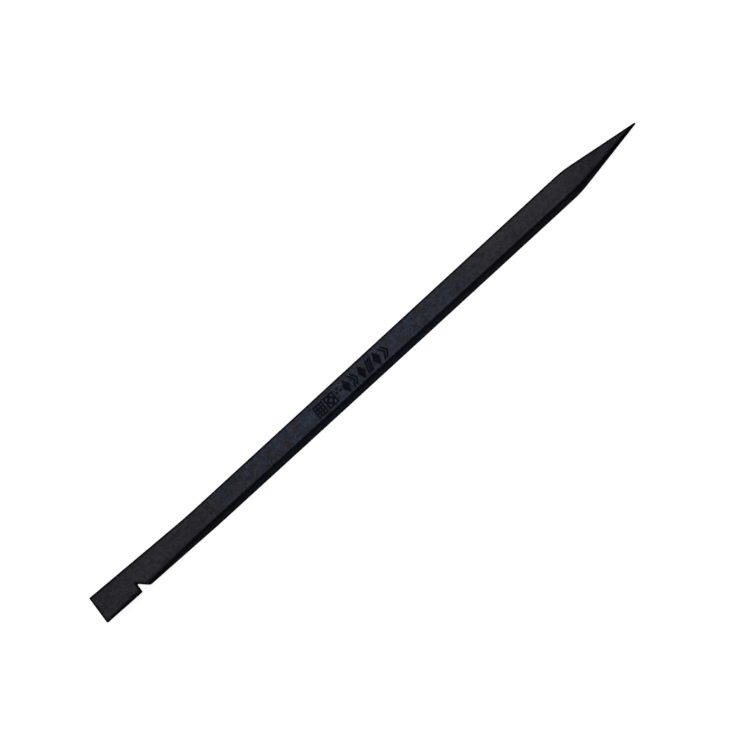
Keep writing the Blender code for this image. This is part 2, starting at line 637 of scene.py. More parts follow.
@dataclass
class MouldedStick:
    """The whole spudger's skin, with the marks that moulding left in it.

    Attributes:
        shape: The stick's sizes.
        notch: The notch in the blade's edge.
        marking: The sunk shapes in the top.
        pins: The ejector pins' marks in the bottom.
        gate: The trimmed stub on the plain side face.
        profile: The edge in section.
        rows_across: How many faces lie side by side across the top and across the bottom.
        corner_steps: Steps round each end corner of the blade.
        bar_step: The step between two cross lines along the bar.
        blade_step: The same on the blade.
        shoulder_step: The same where the point begins.
        tip_step: The same at the tip.
        marking_step: The same at the marking.
        small_mark_step: The same at the pin marks and at the gate.
        blade_reach: How far from the blade's end its step reaches.
        marking_margin: How far past the marking its step reaches.
        shoulder_reach: How far its step reaches to each side of the place where the point begins.
        nose_reach: How far back from the tip the cross lines are bent.
        side_shade_strength: How much shade is painted on the side face next to its fillets.
        upper_fade: How far down the side face that painted shade reaches.
        lower_fade: How far up it reaches from below.
        face_fade: How far in from the rim shade is painted on the top and the bottom.
        end_reach: How many times as far it reaches in from the blade's end.
        sink: How far the middle of each face has sunk.
        ripple: How high each of its waves is.
        top_waves: The top's waves, as radians for each metre along and across, and the angle at the start.
        bottom_waves: The bottom's waves, in the same way.
    """

    shape: StickShape
    notch: Notch = field(default_factory=Notch)
    marking: Marking = field(default_factory=Marking)
    pins: PinMarks = field(default_factory=PinMarks)
    gate: GateScar = field(default_factory=GateScar)
    profile: RimProfile = field(default_factory=RimProfile)
    rows_across: int = 44
    corner_steps: int = 6
    bar_step: float = 0.0007
    blade_step: float = 0.00045
    shoulder_step: float = 0.00035
    tip_step: float = 0.00012
    marking_step: float = 0.00008
    small_mark_step: float = 0.00015
    blade_reach: float = 0.032
    marking_margin: float = 0.0001
    shoulder_reach: float = 0.003
    nose_reach: float = 0.0012
    side_shade_strength: float = 0.55
    upper_fade: float = 0.0019
    lower_fade: float = 0.0004
    face_fade: float = 0.00042
    end_reach: float = 1.5
    sink: float = 0.000035
    ripple: float = 0.000007
    top_waves: tuple[Triple, ...] = ((610.0, 0.0, 0.0), (1370.0, 0.0, 1.1), (290.0, 400.0, 2.3))
    bottom_waves: tuple[Triple, ...] = ((540.0, 0.0, 0.7), (1210.0, 0.0, 2.0))

    def stations(self) -> Stations:
        """Sets the cross lines close on the blade, at the point and wherever there is a mark.

        Returns:
            The stations.
        """
        def around(middle: float, reach: float, step: float) -> Triple:
            """A stretch that reaches as far to each side of its middle."""
            return middle - reach, middle + reach, step

        shape, marking, gate = self.shape, self.marking, self.gate
        detail = [
            (shape.low.x, shape.low.x + self.blade_reach, self.blade_step),
            (marking.start - self.marking_margin, marking.end + self.marking_margin, self.marking_step),
            around(gate.place, gate.length / 2 + gate.softness, self.small_mark_step),
            around(shape.shoulder_x, self.shoulder_reach, self.shoulder_step),
            (shape.high.x - self.nose_reach, shape.high.x, self.tip_step),
        ]
        detail += [around(place, self.pins.radius, self.small_mark_step) for place in self.pins.places]
        return Stations(self.bar_step, tuple(detail))

    def edge_run(self, x: Array, plain_edge: bool) -> Run:
        """Makes the run along one edge, where each point faces square to the edge's slope.

        Args:
            x: Places along the stick.
            plain_edge: True for the edge at +Y, False for the notched one.

        Returns:
            The run, with each point ruled straight across.
        """
        tiny = 1e-6
        rise = self.shape.half_width(x + tiny, plain_edge) - self.shape.half_width(x - tiny, plain_edge)
        facing = np.pi / 2 + np.arctan(rise / (2 * tiny))
        return Run(x, self.shape.half_width(x, plain_edge), facing, x, np.zeros_like(x))

    def end_corner(self, plain_edge: bool) -> Run:
        """Makes the run round one end corner of the blade.

        Args:
            plain_edge: True for the corner at +Y, False for the one on the notched edge.

        Returns:
            The run, from facing the end to facing the edge.
        """
        shape, radius = self.shape, self.shape.corner_radius
        lean = shape.lean(plain_edge)
        centre_x = shape.low.x + radius
        centre = (centre_x, shape.edge_at(centre_x, plain_edge) - radius / math.cos(lean))
        return arc_run(centre, radius, math.pi, math.pi / 2 - lean, self.corner_steps)

    def notch_runs(self) -> list[Run]:
        """Makes the runs round the notch.

        They are the hook's outer corner, the wall, the hollow root, the ramp and the mouth's corner. The
        wall's points share one place along the stick, so their ruled lines fan out to a stretch of the plain
        edge before it.

        Returns:
            The runs in order from the hook's corner to the mouth's.
        """
        shape, notch = self.shape, self.notch
        lean = shape.lean(plain_edge=False)
        wall_x = shape.low.x + notch.wall_from_end
        hook_x = wall_x - notch.hook_radius
        hook_out = shape.edge_at(hook_x, plain_edge=False) - notch.hook_radius / math.cos(lean)
        hook = arc_run((hook_x, hook_out), notch.hook_radius, math.pi / 2 - lean, 0.0, notch.arc_steps)
        facing = math.pi / 2 + notch.ramp
        root_out = shape.edge_at(wall_x, plain_edge=False) - notch.depth + notch.root_radius
        root_centre = (wall_x + notch.root_radius, root_out)
        root = arc_run(root_centre, -notch.root_radius, 0.0, facing, notch.arc_steps)

        foot_x, foot_out = float(root.x[-1]), float(root.out[-1])
        rise = math.sin(notch.ramp) + math.tan(lean) * math.cos(notch.ramp)
        to_edge = (shape.edge_at(foot_x, plain_edge=False) - foot_out) / rise
        to_mouth = to_edge - notch.mouth_radius * math.tan((notch.ramp + lean) / 2)
        up_ramp = np.linspace(0.0, to_mouth, notch.wall_steps + 1)
        ramp_x = foot_x + up_ramp * math.cos(notch.ramp)
        ramp_out = foot_out + up_ramp * math.sin(notch.ramp)
        mouth_centre = (
            float(ramp_x[-1]) - notch.mouth_radius * math.cos(facing),
            float(ramp_out[-1]) - notch.mouth_radius * math.sin(facing),
        )
        mouth = arc_run(mouth_centre, notch.mouth_radius, facing, math.pi / 2 - lean, notch.arc_steps)

        fan_end = wall_x - 2 * notch.fillet
        fan = np.linspace(wall_x - notch.fan, fan_end, notch.arc_steps + notch.wall_steps + 1)
        root_fan = np.linspace(fan_end, foot_x, notch.arc_steps + 1)
        rising = np.linspace(0.0, 1.0, notch.arc_steps + 1)
        wall_out = np.linspace(hook_out, root_out, notch.wall_steps + 1)
        none, full = np.zeros_like(wall_out), np.ones_like(wall_out)
        return [
            replace(hook, partner=fan[: notch.arc_steps + 1], pinch=rising),
            Run(wall_x * full, wall_out, none, fan[notch.arc_steps:], full),
            replace(root, partner=root_fan, pinch=np.ones_like(rising)),
            Run(ramp_x, ramp_out, facing * full, ramp_x, full),
            replace(mouth, pinch=1 - rising),
        ]

    def edges(self) -> tuple[Run, Run]:
        """Makes the two long edges, point for point opposite each other, from the blade's end to the nose.

        Returns:
            The notched edge and the plain one.
        """
        corner = self.end_corner(plain_edge=False)
        around_notch = self.notch_runs()
        hook_x = float(around_notch[0].x[0])
        hook_partner = float(around_notch[0].partner[0])
        before = self.edge_run(self.stations().between(float(corner.x[-1]), hook_x), plain_edge=False)
        share = (before.x - before.x[0]) / (hook_x - before.x[0])
        before = replace(before, partner=before.x + share * (hook_partner - hook_x))
        nose_start = self.shape.high.x - self.shape.nose_radius * (1 - math.sin(self.shape.slant))
        mouth_x = float(around_notch[-1].x[-1])
        after = self.edge_run(self.stations().between(mouth_x, nose_start), plain_edge=False)
        notched = join_runs([corner, before, *around_notch, after])
        far_corner = self.end_corner(plain_edge=True)
        opposite = np.maximum(notched.partner[len(corner.x):], float(far_corner.x[-1]))
        along_plain = self.edge_run(np.concatenate([far_corner.x[-1:], opposite]), plain_edge=True)
        return notched, join_runs([far_corner, along_plain])

    def outline(self, notched: Run, plain: Run) -> Loop:
        """Closes the two edges with the nose and the blade's end into one loop, anticlockwise from above.

        Args:
            notched: The notched edge.
            plain: The plain edge.

        Returns:
            The loop: the notched edge, the nose, the plain edge backwards and the blade's end.
        """
        shape, rows = self.shape, self.rows_across
        nose_turn = math.pi / 2 - shape.slant
        nose_angle = np.linspace(-nose_turn, nose_turn, rows + 1)[1:-1]
        nose_x = shape.high.x - shape.nose_radius * (1 - np.cos(nose_angle))
        nose_y = shape.nose_radius * np.sin(nose_angle)
        end_y = np.linspace(plain.out[0], -notched.out[0], rows + 1)[1:-1]
        end_x = np.full_like(end_y, shape.low.x)
        x = np.concatenate([notched.x, nose_x, plain.x[::-1], end_x])
        y = np.concatenate([-notched.out, nose_y, plain.out[::-1], end_y]) + shape.centre_y
        angle = np.concatenate([-notched.angle, nose_angle, plain.angle[::-1], np.full_like(end_y, math.pi)])
        pinch = np.zeros_like(x)
        pinch[: len(notched.pinch)] = notched.pinch
        radius = shape.fillet(x) * (1 - pinch) + self.notch.fillet * pinch
        return Loop(x, y, np.cos(angle), np.sin(angle), radius)

    def rim(self, loop: Loop) -> tuple[Array, Array, Array]:
        """Carries the edge profile round the loop.

        A fillet's point lies r (1 - sin a) in from the side face and r (1 - cos a) from the top or the
        bottom, for an angle a from 0 to a quarter turn. The side face falls back evenly from the parting
        line, where a thin ridge follows a bell curve. What stands out there shrinks with the stick's
        thickness. Shade is painted on the fillets and a short way over the side face from each, farther
        down from the top than up from the bottom. On the notched side of the bar a fillet takes the painted
        shade only as it turns down, so its border with the top is as light as the top.

        Args:
            loop: The outline.

        Returns:
            The points, rows by places by 3, the painted shade on each, and how far each is onto the gate's
            scar.
        """
        shape, profile = self.shape, self.profile
        turn = np.linspace(0.0, math.pi / 2, profile.fillet_steps + 1)[:, None]
        side = np.array(profile.side)[:, None]
        thickness = shape.top_z(loop.x) - shape.bottom_z(loop.x)
        share = thickness / shape.thickness
        fall_back = (profile.draft + profile.flash) * share
        flash = np.exp(-(((side - 0.5) / profile.flash_half_width) ** 2))
        on_plain_side = np.clip(loop.facing_y, 0.0, 1.0)
        gate = self.gate.rise(loop.x[None, :], side) * on_plain_side
        side_in = (profile.draft * np.abs(2 * side - 1) + profile.flash * (1 - flash)) * share - gate
        fillet_in = fall_back + loop.radius * (1 - np.sin(turn))
        inset = np.concatenate([fillet_in, side_in, fillet_in[::-1]])
        x = loop.x - inset * loop.facing_x
        y = loop.y - inset * loop.facing_y

        drop = loop.radius * (1 - np.cos(turn))
        top = shape.top_z(x[: len(turn)]) - drop
        bottom = shape.bottom_z(x[-len(turn):]) + drop[::-1]
        middle = top[-1] + (bottom[0] - top[-1]) * side
        z = np.concatenate([top, middle, bottom])

        # Painted shade on the fillets and on the side face next to them, reaching farther down from the top
        # than up from the bottom.
        on_notched_side = np.clip(-loop.facing_y, 0.0, 1.0)
        at_border = 1 - on_notched_side * (1 - shape.thinness(loop.x))
        fillet_shade = at_border + (self.side_shade_strength - at_border) * (turn / turn[-1]) ** 2
        height = thickness - 2 * loop.radius
        from_above = smooth_step(side * height, self.upper_fade, self.upper_fade / 2)
        from_below = smooth_step((1 - side) * height, self.lower_fade, 0.0)
        side_shade = np.maximum(from_above, from_below) * self.side_shade_strength
        painted_shade = np.concatenate([fillet_shade, side_shade, fillet_shade[::-1]])
        scar = np.zeros_like(z)
        scar[len(turn): len(turn) + len(side)] = gate / self.gate.height
        return np.stack([x, y, z], axis=-1), painted_shade, scar

    def ruled(self, inner: Array, count: int) -> tuple[Array, Array]:
        """Rules a grid across the stick between the borders that the rim leaves.

        Each cross line runs straight from its point on the notched border to the one on the plain border.
        Near the nose the lines are bent so that the last one is the nose's own arc.

        Args:
            inner: The rim's inner row, once round the loop, as points by 3.
            count: How many cross lines there are.

        Returns:
            The grid's places along and across the stick, each count by rows.
        """
        rows = self.rows_across
        notched = inner[:count, :2]
        nose = inner[count - 1: count + rows, :2]
        plain = inner[count + rows - 1: 2 * count + rows - 1, :2][::-1]
        share = np.linspace(0.0, 1.0, rows + 1)[None, :, None]
        grid = notched[:, None, :] * (1 - share) + plain[:, None, :] * share
        bend = nose - grid[-1]
        bend_start = self.shape.high.x - self.nose_reach
        reach = smooth_step(grid[:, :, 0], bend_start, float(nose[0, 0]))[..., None]
        grid = grid + bend[None] * reach
        grid[-1] = nose
        return grid[..., 0], grid[..., 1]

    def painted_border_shade(self, x: Array, y: Array) -> Array:
        """Gives how much shade is painted on each point of the top or the bottom.

        It is 1 at the plain edge and at the blade's end and falls to 0 a short way in, which is farther where
        the blade is thinner. At the notched edge it is as much as the stick is thinned.

        Args:
            x: Places along the stick.
            y: Places across the stick.

        Returns:
            The painted shade at each point.
        """
        from_plain = (y[:, -1:] - y) / (1 + self.shape.into_thin(x))
        from_end = (x - x[0]) / self.end_reach
        by_plain = smooth_step(np.minimum(from_plain, from_end), self.face_fade, 0.0)
        by_notched = smooth_step(y - y[:, :1], self.face_fade, 0.0) * self.shape.thinness(x)
        return np.maximum(by_plain, by_notched)

    def hollow(self, x: Array, y: Array, waves: tuple[Triple, ...]) -> Array:
        """Gives how far a face has sunk.

        It is hollowed by a parabola across it, as a cooling bar sinks, and rippled by slow waves. Both fade
        to 0 at the rim and shrink with the stick's thickness.

        Args:
            x: Places along the stick.
            y: Places across the stick.
            waves: The ripple's waves.

        Returns:
            The depth at each point.
        """
        across = np.linspace(0.0, 1.0, self.rows_across + 1)
        thickness = (self.shape.top_z(x) - self.shape.bottom_z(x)) / self.shape.thickness
        ripple = sum(np.sin(x * along + y * over + start) for along, over, start in waves)
        return (self.sink + self.ripple * ripple) * 4 * across * (1 - across) * thickness

    def skin_faces(self, count: int, ring_length: int, ring_count: int) -> NDArray[np.int64]:
        """Joins the skin's vertices into faces.

        The vertices are the top's grid, the bottom's grid and then the rim's rings between the two. Each
        grid's own border, taken once round, is the ring that the rim starts or ends with.

        Args:
            count: How many cross lines each grid has.
            ring_length: How many vertices go once round.
            ring_count: How many rings lie between the two borders.

        Returns:
            The faces' vertices, by 4.
        """
        rows = self.rows_across + 1
        grid_size = count * rows
        ids = np.arange(grid_size).reshape(count, rows)
        border = np.concatenate([ids[:, 0], ids[-1, 1:-1], ids[::-1, -1], ids[0, -2:0:-1]])
        between = 2 * grid_size + np.arange(ring_count * ring_length).reshape(ring_count, ring_length)
        rings = np.concatenate([border[None], between, (border + grid_size)[None]])
        ahead = np.roll(rings, -1, axis=1)
        wall = np.stack([rings[:-1], rings[1:], ahead[1:], ahead[:-1]], axis=-1).reshape(-1, 4)
        lid = np.stack([ids[:-1, :-1], ids[1:, :-1], ids[1:, 1:], ids[:-1, 1:]], axis=-1).reshape(-1, 4)
        return np.concatenate([lid, lid[:, ::-1] + grid_size, wall])

    def build(self) -> bpy.types.Object:
        """Builds the stick's mesh as one closed skin.

        Returns:
            The stick's object, at the origin, with its place in its mesh.
        """
        notched, plain = self.edges()
        loop = self.outline(notched, plain)
        rim, rim_shade, scar = self.rim(loop)
        count = len(notched.x)
        top_x, top_y = self.ruled(rim[0], count)
        marked = self.marking.mask(top_x, top_y)
        top_z = self.shape.top_z(top_x) - self.hollow(top_x, top_y, self.top_waves)
        top_z -= self.marking.depth * marked

        bottom_x, bottom_y = self.ruled(rim[-1], count)
        pinned = self.pins.mask(bottom_x, bottom_y - self.shape.centre_y)
        bottom_z = self.shape.bottom_z(bottom_x) + self.hollow(bottom_x, bottom_y, self.bottom_waves)
        bottom_z += self.pins.rise(pinned)

        rings = rim[1:-1]
        top = np.stack([top_x, top_y, top_z], axis=-1)
        bottom = np.stack([bottom_x, bottom_y, bottom_z], axis=-1)
        points = np.concatenate([sheet.reshape(-1, 3) for sheet in (top, bottom, rings)])
        points[:, 1] += self.shape.sway_y(points[:, 0])

        def skin(top: Array, bottom: Array, around: Array) -> Array:
            """Values for every vertex, in the vertices' order."""
            return np.concatenate([top.ravel(), bottom.ravel(), around.ravel()])

        no_grid, no_rings = np.zeros_like(top_x), np.zeros(rings.shape[:2])
        # Painted shade round the rim and along the borders of the top and the bottom, kept in the edge
        # attribute.
        painted_shade = skin(self.painted_border_shade(top_x, top_y), self.painted_border_shade(bottom_x, bottom_y), rim_shade[1:-1])
        attributes = {
            "marking": skin(marked, no_grid, no_rings),
            "pin_mark": skin(no_grid, pinned, no_rings),
            "edge": painted_shade,
            "gate_scar": skin(no_grid, no_grid, scar[1:-1]),
        }
        faces = self.skin_faces(count, len(loop.x), len(rings))
        return make_piece("nylon_stick", points, faces, attributes)


def make_piece(
    name: str, points: Array, faces: NDArray[np.int64], attributes: dict[str, Array]
) -> bpy.types.Object:
    """Puts whole arrays into a new, smooth mesh object.

    Args:
        name: The object's name.
        points: The vertices, by 3.
        faces: The faces' vertices, by 4.
        attributes: Values for each vertex, by name.

    Returns:
        The object, linked to the scene.
    """
    mesh = bpy.data.meshes.new(name)
    mesh.vertices.add(len(points))
    mesh.vertices.foreach_set("co", points.astype(np.float32).ravel())
    mesh.loops.add(faces.size)
    mesh.loops.foreach_set("vertex_index", faces.astype(np.int32).ravel())
    mesh.polygons.add(len(faces))
    mesh.polygons.foreach_set("loop_start", np.arange(0, faces.size, 4, dtype=np.int32))
    mesh.update(calc_edges=True)
    mesh.validate()
    mesh.shade_smooth()
    for attribute, values in attributes.items():
        layer = mesh.attributes.new(attribute, "FLOAT", "POINT")
        layer.data.foreach_set("value", values.astype(np.float32))
    piece = bpy.data.objects.new(name, mesh)
    bpy.context.scene.collection.objects.link(piece)
    return piece


class Value:
    """A node's output, on which arithmetic adds Math nodes."""

    def __init__(self, shader: "Shader", socket: bpy.types.NodeSocket) -> None:
        """Keeps the output and the shader that its nodes are added to."""
        self.shader = shader
        self.socket = socket

    def maths(self, operation: str, *others: "Value | float") -> "Value":
        """Adds a Math node that works on this output.

        Args:
            operation: The Math node's operation.
            others: What else it works on.

        Returns:
            The node's output.
        """
        return self.shader.node("ShaderNodeMath", {"operation": operation}, dict(enumerate((self, *others))))

    def __add__(self, other: "Value | float") -> "Value":
        """The sum."""
        return self.maths("ADD", other)

    __radd__ = __add__

    def __sub__(self, other: "Value | float") -> "Value":
        """The difference."""
        return self.maths("SUBTRACT", other)

    def __mul__(self, other: "Value | float") -> "Value":
        """The product."""
        return self.maths("MULTIPLY", other)

    def step(self, low: float, high: float) -> "Value":
        """A smooth rise from 0 at low to 1 at high."""
        inputs = {"Value": self, "From Min": low, "From Max": high}
        return self.shader.node("ShaderNodeMapRange", {"interpolation_type": "SMOOTHSTEP"}, inputs)


@dataclass(frozen=True)
class Cloud:
    """One size of the nylon's cloudy variation.

    Attributes:
        scale: How many of its features there are in a millimetre along X, Y and Z.
        detail: How many finer sizes are laid over it.
        roughness: How strong each finer size is.
        shade: How far it moves the black between its darkest and its lightest.
    """

    scale: Triple
    detail: float
    roughness: float = 0.5
    shade: float = 0.0


class Shader:
    """A material under construction."""

    def __init__(self, name: str) -> None:
        """Makes the material and finds its Principled shader and what that gives.

        Args:
            name: The material's name.
        """
        self.material = bpy.data.materials.new(name)
        self.material.use_nodes = True
        self.nodes = self.material.node_tree.nodes
        self.links = self.material.node_tree.links
        self.surface = self.nodes["Principled BSDF"]
        self.plain = Value(self, self.surface.outputs["BSDF"])

    def put(self, node: bpy.types.Node, inputs: dict[str | int, Any]) -> None:
        """Sets a node's inputs to values, or links outputs to them.

        Args:
            node: The node.
            inputs: Values or outputs for its inputs, by name or number.
        """
        for key, value in inputs.items():
            if isinstance(value, Value):
                self.links.new(value.socket, node.inputs[key])
            else:
                node.inputs[key].default_value = value

    def node(
        self, kind: str, settings: dict[str, Any], inputs: dict[str | int, Any], output: str | int = 0
    ) -> Value:
        """Adds a node.

        Args:
            kind: The node's type.
            settings: The node's own properties, which are set first.
            inputs: Values or outputs for its inputs, by name or number.
            output: Which of its outputs to give back.

        Returns:
            That output.
        """
        node = self.nodes.new(kind)
        for name, setting in settings.items():
            setattr(node, name, setting)
        self.put(node, inputs)
        return Value(self, node.outputs[output])

    def times(self, first: Value, second: "Value | Triple") -> Value:
        """A colour or a place multiplied, channel by channel."""
        return self.node("ShaderNodeVectorMath", {"operation": "MULTIPLY"}, {0: first, 1: second})

    def noise(self, place: Value, cloud: Cloud) -> Value:
        """A cloud's noise at a place in millimetres, around a half."""
        size = {"Vector": self.times(place, cloud.scale), "Scale": 1.0, "Detail": cloud.detail}
        return self.node("ShaderNodeTexNoise", {}, size | {"Roughness": cloud.roughness})

    def attribute(self, name: str) -> Value:
        """A value that the mesh holds for each vertex."""
        return self.node("ShaderNodeAttribute", {"attribute_name": name}, {}, "Fac")

    def mix(self, factor: Value, first: "Value | Colour", second: "Value | Colour") -> Value:
        """Gives a colour between two colours.

        Args:
            factor: How much of the second colour shows.
            first: The first colour.
            second: The second colour.

        Returns:
            The mixed colour.
        """
        def rgba(colour: "Value | Colour") -> Any:
            """A colour with its alpha, or an output as it is."""
            return colour if isinstance(colour, Value) else (*colour, 1.0)

        inputs = {0: factor, 6: rgba(first), 7: rgba(second)}
        return self.node("ShaderNodeMix", {"data_type": "RGBA"}, inputs, 2)


@dataclass(frozen=True)
class Trait:
    """What one feature of the nylon's skin does to its finish.

    Attributes:
        cover: How much of the colour under it is hidden by its own.
        roughness: What it adds to the roughness.
        height: What it adds to the relief, or, where it is negative, takes off the relief's height.
        shade_share: What it adds to the share of the darker skin of painted shade.
    """

    cover: float = 0.0
    roughness: float = 0.0
    height: float = 0.0
    shade_share: float = 0.0


@dataclass(frozen=True)
class BlackNylon:
    """Matte black nylon, filled with short fibres and moulded against a spark-eroded surface.

    Attributes:
        dark: The colour of the darkest spots.
        light: The colour of the lightest spots.
        sheen_tint: What the colour is multiplied by in the patches of painted bluish sheen.
        fibre: The colour where a fibre shows.
        painted_shade: The colour of the darker skin mixed in as painted shade along the edges, the tip and
            the marking.
        worn: The colour of a rubbed spot and of the trimmed gate.
        sunk: The colour on the floor of the marking, partly its finish and partly painted shade.
        roughness: The face's usual roughness.
        painted_shade_roughness: The same for the darker skin of painted shade.
        reflectance: How strongly the surface reflects, where 0.5 is usual.
        painted_shade_reflectance: The same for the darker skin of painted shade.
        grain_height: The height of the spark-eroded texture.
        drift: The slow change of shade along the bar.
        blotch: The broad mottling.
        sheen_patch: The patches of painted bluish sheen over the middle of the bar.
        mottle: The fine mottling.
        grain: The spark-eroded grain.
        streak: The fibres, long along the stick.
        sheen_patch_step: Where on its noise a patch of painted sheen begins and where it is full.
        streak_step: The same for a fibre.
        rub_step: The same for a rubbed spot, on the fine mottling.
        speckle: How strong the mottling and the grain are.
        middle_speckle: How much stronger they are over the middle of the bar.
        middle_x: Where along the stick that middle is, in millimetres, as are the next two.
        middle_span: How far from it the patches of painted sheen begin and where they are full.
        tip_shade_span: Where along the stick the painted shade towards the tip begins and where it is full.
        sunk_mottle: How much the mottling varies the marking's cover.
        fibrous: What the fibres do.
        grainy: What the grain does.
        mottled: What the fine mottling does.
        rubbed: What the rubbed spots do.
        marked: What the marking does, whose darkening is partly painted shade.
        pinned: What the pin marks do.
        scarred: What the gate's scar does.
        tip_shade: What the painted shade towards the tip does.
    """

    dark: Colour = (0.0040, 0.0038, 0.0062)
    light: Colour = (0.0450, 0.0440, 0.0600)
    sheen_tint: Colour = (0.82, 1.22, 1.54)
    fibre: Colour = (0.055, 0.058, 0.066)
    painted_shade: Colour = (0.0022, 0.0021, 0.0034)
    worn: Colour = (0.036, 0.036, 0.040)
    sunk: Colour = (0.0006, 0.0045, 0.0140)
    roughness: float = 0.62
    painted_shade_roughness: float = 0.85
    reflectance: float = 0.25
    painted_shade_reflectance: float = 0.01
    grain_height: float = 0.000022
    drift: Cloud = Cloud((0.09, 0.35, 0.35), 3.0, shade=0.5)
    blotch: Cloud = Cloud((0.75, 0.75, 0.75), 2.0, shade=0.9)
    sheen_patch: Cloud = Cloud((0.36, 0.36, 0.36), 3.0, 0.6)
    mottle: Cloud = Cloud((2.6, 2.6, 2.6), 3.0, 0.65, shade=1.9)
    grain: Cloud = Cloud((8.5, 8.5, 8.5), 2.0, 0.65, shade=1.7)
    streak: Cloud = Cloud((2.2, 17.0, 17.0), 1.0)
    sheen_patch_step: tuple[float, float] = (0.32, 0.62)
    streak_step: tuple[float, float] = (0.66, 0.74)
    rub_step: tuple[float, float] = (0.60, 0.74)
    speckle: float = 0.92
    middle_speckle: float = 0.4
    middle_x: float = -6.0
    middle_span: tuple[float, float] = (42.0, 22.0)
    tip_shade_span: tuple[float, float] = (60.0, 76.0)
    sunk_mottle: float = 0.55
    fibrous: Trait = Trait(cover=0.6, roughness=-0.08, height=0.12)
    grainy: Trait = Trait(roughness=0.16, height=0.6)
    mottled: Trait = Trait(roughness=0.22, height=0.4)
    rubbed: Trait = Trait(cover=0.5, roughness=-0.2, shade_share=-0.5)
    marked: Trait = Trait(cover=0.60, roughness=0.33, height=-0.6, shade_share=0.45)
    pinned: Trait = Trait(roughness=-0.16, height=-0.7)
    scarred: Trait = Trait(cover=0.5, roughness=0.1)
    tip_shade: Trait = Trait(shade_share=0.40)

    def material(self) -> bpy.types.Material:
        """Makes the material.

        Slow drifts along the bar and fine mottling set the black's shade, patches of painted bluish sheen lie
        over the middle of the bar, and thin streaks along the flow are fibres just under the skin. The sunk
        marking is darker and rougher, its darkness partly painted shade. A second, darker and rougher
        surface is mixed in as painted shade along the edges, but for their rubbed spots, in the marking and
        towards the tip.

        Returns:
            The material.
        """
        shader = Shader("black_fibre_nylon")
        place = shader.node("ShaderNodeTexCoord", {}, {}, "Object")
        place = shader.times(place, IN_MILLIMETRES)
        along = shader.node("ShaderNodeSeparateXYZ", {}, {"Vector": place}, "X")
        middle = (along - self.middle_x).maths("ABSOLUTE").step(*self.middle_span)
        edge, marking, pin, scar = (
            shader.attribute(name) for name in ("edge", "marking", "pin_mark", "gate_scar")
        )
        drift = shader.noise(place, self.drift)
        blotch = shader.noise(place, self.blotch)
        mottle = shader.noise(place, self.mottle)
        grain = shader.noise(place, self.grain)
        # Patches of painted bluish sheen over the middle of the bar.
        sheen_patch = middle * shader.noise(place, self.sheen_patch).step(*self.sheen_patch_step)
        fibre = shader.noise(place, self.streak).step(*self.streak_step)
        rub = edge * mottle.step(*self.rub_step)

        speckle = (blotch - 0.5) * self.blotch.shade + (mottle - 0.5) * self.mottle.shade
        speckle = speckle + (grain - 0.5) * self.grain.shade
        speckle = speckle * (self.speckle + middle * self.middle_speckle)
        shade = 0.5 + (drift - 0.5) * self.drift.shade + speckle
        colour = shader.mix(shade, self.dark, self.light)
        # The painted sheen tints the colour blue.
        colour = shader.times(colour, shader.mix(sheen_patch, WHITE, self.sheen_tint))
        colour = shader.mix(fibre * self.fibrous.cover, colour, self.fibre)
        colour = shader.mix(rub * self.rubbed.cover, colour, self.worn)
        colour = shader.mix(scar * self.scarred.cover, colour, self.worn)
        # The marking's floor is darker, partly for its finish and partly as painted shade in the sunk lines.
        colour = shader.mix(marking * (self.marked.cover + mottle * self.sunk_mottle), colour, self.sunk)

        roughness = self.roughness + (mottle - 0.5) * self.mottled.roughness
        traits = (self.grainy, self.rubbed, self.fibrous, self.marked, self.pinned, self.scarred)
        for trait, amount in zip(traits, (grain - 0.5, rub, fibre, marking, pin, scar)):
            roughness = roughness + amount * trait.roughness

        height = grain * self.grainy.height + mottle * self.mottled.height
        height = height * (1 + pin * self.pinned.height) * (1 + marking * self.marked.height)
        height = height + fibre * self.fibrous.height
        bump = {"Strength": 1.0, "Distance": self.grain_height, "Height": height}
        normal = shader.node("ShaderNodeBump", {}, bump)

        look = {"Base Color": colour, "Roughness": roughness, "Metallic": 0.0, "Normal": normal}
        shader.put(shader.surface, look | {"Specular IOR Level": self.reflectance})
        # A second skin, darker and rougher, mixed in as painted shade.
        painted_shade_look = {"Base Color": (*self.painted_shade, 1.0), "Roughness": self.painted_shade_roughness, "Normal": normal}
        painted_shade_look |= {"Specular IOR Level": self.painted_shade_reflectance}
        painted_shade_skin = shader.node("ShaderNodeBsdfPrincipled", {}, painted_shade_look, "BSDF")
        # Painted shade over the point, growing towards the tip.
        tip_shade = along.step(*self.tip_shade_span) * self.tip_shade.shade_share
        # The share of painted shade: along the edges but for their rubbed spots, towards the tip and in the
        # marking.
        shade_share = edge * (1 + rub * self.rubbed.shade_share) + tip_shade + marking * self.marked.shade_share
        skins = {0: shade_share.maths("MINIMUM", 1.0), 1: shader.plain, 2: painted_shade_skin}
        surface = shader.node("ShaderNodeMixShader", {}, skins)
        shader.put(shader.nodes["Material Output"], {"Surface": surface})
        return shader.material


def way_towards(azimuth: float, elevation: float) -> Vector:
    """Gives the way out from the stick: (cos e sin a, -cos e cos a, sin e) for azimuth a and elevation e.

    Args:
        azimuth: The way round from -Y towards +X, in degrees.
        elevation: The height above the horizon, in degrees.

    Returns:
        A vector one long.
    """
    around, height = math.radians(azimuth), math.radians(elevation)
    level = math.cos(height)
    return Vector((math.sin(around) * level, -math.cos(around) * level, math.sin(height)))


